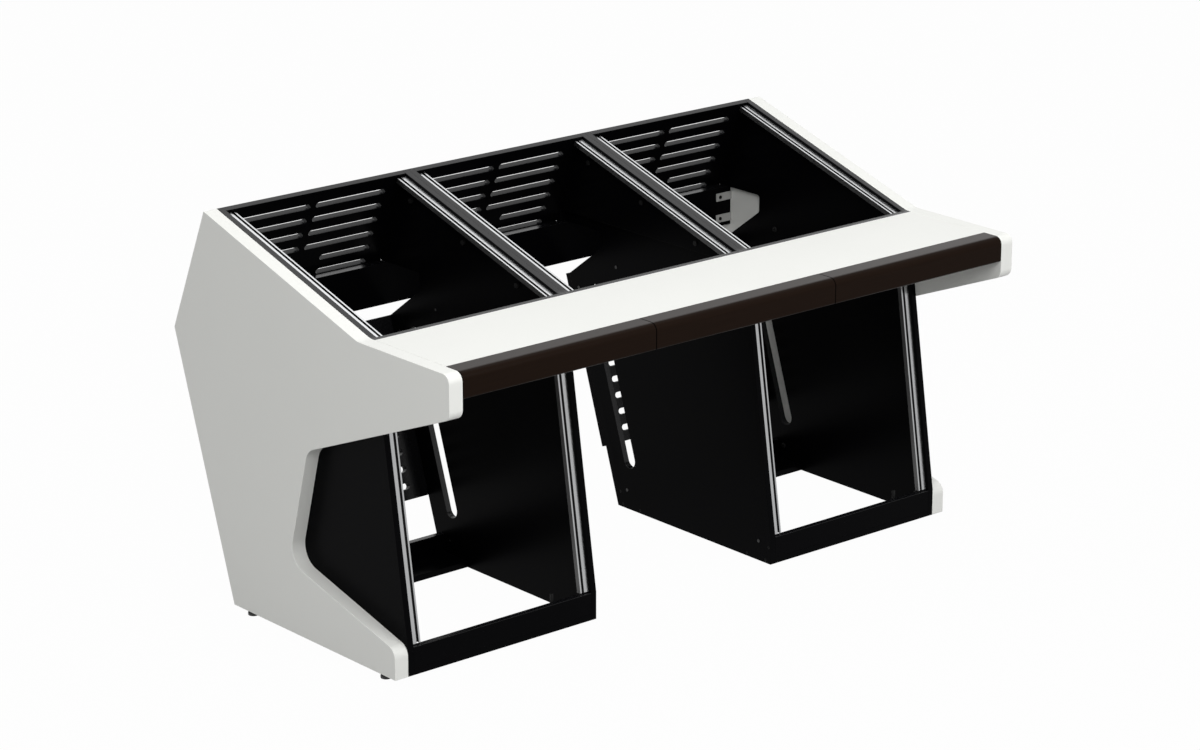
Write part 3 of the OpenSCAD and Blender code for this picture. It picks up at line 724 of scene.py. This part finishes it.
def turned_head(mesh, head_r, head_h, shank_r, length):
    """A screw along +Z: domed head from z = 0 to head_h, six-sided socket, plain shank."""
    before = set(mesh.verts)
    dome_z = head_h * (1.0 - DOME_SHARE)
    profile = [(shank_r, length), (shank_r, head_h), (head_r, head_h), (head_r, dome_z),
               (head_r * DOME_MIDDLE[0], dome_z * DOME_MIDDLE[1]), (head_r * DOME_TOP_R, 0.0)]
    verts = [mesh.verts.new((r, 0.0, z)) for r, z in profile]
    edges = [mesh.edges.new(pair) for pair in zip(verts, verts[1:])]
    bmesh.ops.spin(mesh, geom=verts + edges, cent=(0, 0, 0), axis=(0, 0, 1), angle=2 * math.pi, steps=TURNS,
                   use_merge=True)
    rims = [e for e in mesh.edges if e.is_boundary and e.verts[0] not in before]
    top = [e for e in rims if max(v.co.z for v in e.verts) < dome_z * TOP_RIM]
    tip = [e for e in rims if e not in set(top)]
    bmesh.ops.edgeloop_fill(mesh, edges=tip)
    face = bmesh.ops.edgeloop_fill(mesh, edges=top)["faces"]
    inner = bmesh.ops.inset_region(mesh, faces=face, thickness=head_r * SOCKET_INSET)
    socket = bmesh.ops.extrude_face_region(mesh, geom=face)
    ring = [v for v in socket["geom"] if isinstance(v, bmesh.types.BMVert)]
    bmesh.ops.delete(mesh, geom=face, context="FACES_ONLY")
    bmesh.ops.translate(mesh, verts=ring, vec=(0, 0, head_h * SOCKET_DEPTH))
    for vertex in set(v for f in inner["faces"] for v in f.verts) | set(ring):
        flat = Vector((vertex.co.x, vertex.co.y))
        if flat.length < head_r * SOCKET_REACH:
            turn = math.atan2(flat.y, flat.x) % SIXTH - SIXTH / 2
            radius = head_r * SOCKET_SHARE * math.cos(SIXTH / 2) / math.cos(turn)
            vertex.co.xy = flat.normalized() * radius
    return [v for v in mesh.verts if v not in before]


print("screws are turned in", TURNS, "steps")

# %% [markdown]
# All the screws of a node become one piece. Each is turned at the origin and then moved to where its
# solid was found.

# %% Screws of a node
def fasteners(node, name, material):
    """One piece that holds a turned screw for every solid of a node."""
    mesh = bmesh.new()
    solids = solids_of(node)
    for points in solids:
        start, along, length, head_r, head_h, shank_r = axis_of(points)
        made = turned_head(mesh, head_r, head_h, shank_r, length)
        turn = Vector((0, 0, 1)).rotation_difference(along).to_matrix().to_4x4()
        bmesh.ops.transform(mesh, matrix=Matrix.Translation(start) @ turn, verts=made)
    bmesh.ops.remove_doubles(mesh, verts=mesh.verts, dist=MERGE)
    bmesh.ops.recalc_face_normals(mesh, faces=mesh.faces)
    print(name, len(solids), "screws, head radius", round(head_r / MM, 2),
          "mm, length", round(length / MM, 1), "mm")
    return finish_piece(mesh, name, material, BODY_OF[node], node)


fasteners("frame_screws", "black_frame_screws", DARK_SCREW)
fasteners("cover_screws", "steel_cover_screws", STEEL)
fasteners("bracket_screws", "black_bracket_screws", DARK_SCREW)
fasteners("armrest_screws", "steel_armrest_screws", STEEL)
fasteners("bay_rail_screws", "black_bay_rail_screws", DARK_SCREW)
fasteners("pedestal_rail_screws", "black_pedestal_rail_screws", DARK_SCREW)
fasteners("panel_bolts", "black_panel_bolts", DARK_SCREW)

# %% [markdown]
# ## Plugs and bay bolts
# The plugs in the spare holes are plain moulded buttons and the bay bolts have plain turned caps, so
# both keep the model's shape with eased rims.

# %% Plugs and bay bolts
def eased_small(node, name, material, ease):
    """A copy of small turned solids with every sharp rim eased."""
    mesh = merged(node)
    bmesh.ops.bevel(mesh, geom=sharp_edges(mesh), offset=ease, offset_type="OFFSET", segments=2, profile=0.5,
                    affect="EDGES", clamp_overlap=True, material=-1)
    return finish_piece(mesh, name, material, BODY_OF[node], node)


CAP_EASE = 0.4 * MM
eased_small("hole_plugs", "black_hole_plugs", BLACK_PLASTIC, CAP_EASE)
eased_small("bay_bolts", "black_bay_bolts", DARK_SCREW, CAP_EASE)
print("plugs and bolts made")

# %% [markdown]
# ## Levelling feet
# A foot is a moulded pad on a threaded stem. The pad's shape is drawn as half a section and spun: a
# small round at the floor, a straight wall, a rounded shoulder, a collar, and the stem that slides in
# its sleeve. The corners are lists of how far a point lies in from the wall and up or down from the end.

# %% Feet
FOOT_TURNS = 48
STEM_R = 4.0 * MM
STEM_TIP = 1.0 * MM
COLLAR_R = 8.0 * MM
COLLAR_TOP = 12.0 * MM
COLLAR_EASE = 0.5 * MM
PAD_TOP = 8.0 * MM
FLOOR_CORNER = ((1.5 * MM, 0.0), (0.4 * MM, 0.5 * MM), (0.0, 1.6 * MM))
SHOULDER = ((0.0, 1.6 * MM), (0.5 * MM, 0.4 * MM), (1.6 * MM, 0.0))


def levelling_foot(node):
    low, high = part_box(node)
    centre = (low + high) / 2
    pad_r = (high.x - low.x) / 2
    height = high.z - low.z
    section = [(0.0, 0.0)]
    section += [(pad_r - inward, up) for inward, up in FLOOR_CORNER]
    section += [(pad_r - inward, PAD_TOP - down) for inward, down in SHOULDER]
    section += [(COLLAR_R, PAD_TOP), (COLLAR_R, COLLAR_TOP - COLLAR_EASE),
                (COLLAR_R - COLLAR_EASE, COLLAR_TOP), (STEM_R, COLLAR_TOP)]
    section += [(STEM_R, height - STEM_TIP), (STEM_R - STEM_TIP, height), (0.0, height)]
    mesh = bmesh.new()
    verts = [mesh.verts.new((r, 0.0, z)) for r, z in section]
    edges = [mesh.edges.new(pair) for pair in zip(verts, verts[1:])]
    bmesh.ops.spin(mesh, geom=verts + edges, cent=(0, 0, 0), axis=(0, 0, 1), angle=2 * math.pi,
                   steps=FOOT_TURNS, use_merge=True)
    bmesh.ops.remove_doubles(mesh, verts=mesh.verts, dist=MERGE)
    bmesh.ops.recalc_face_normals(mesh, faces=mesh.faces)
    bmesh.ops.translate(mesh, verts=mesh.verts, vec=(centre.x, centre.y, low.z))
    return finish_piece(mesh, f"levelling_{node}", FOOT_BLACK, BODY_OF[node], node)


for number in range(1, 5):
    levelling_foot(f"foot_{number}")
print("feet made")
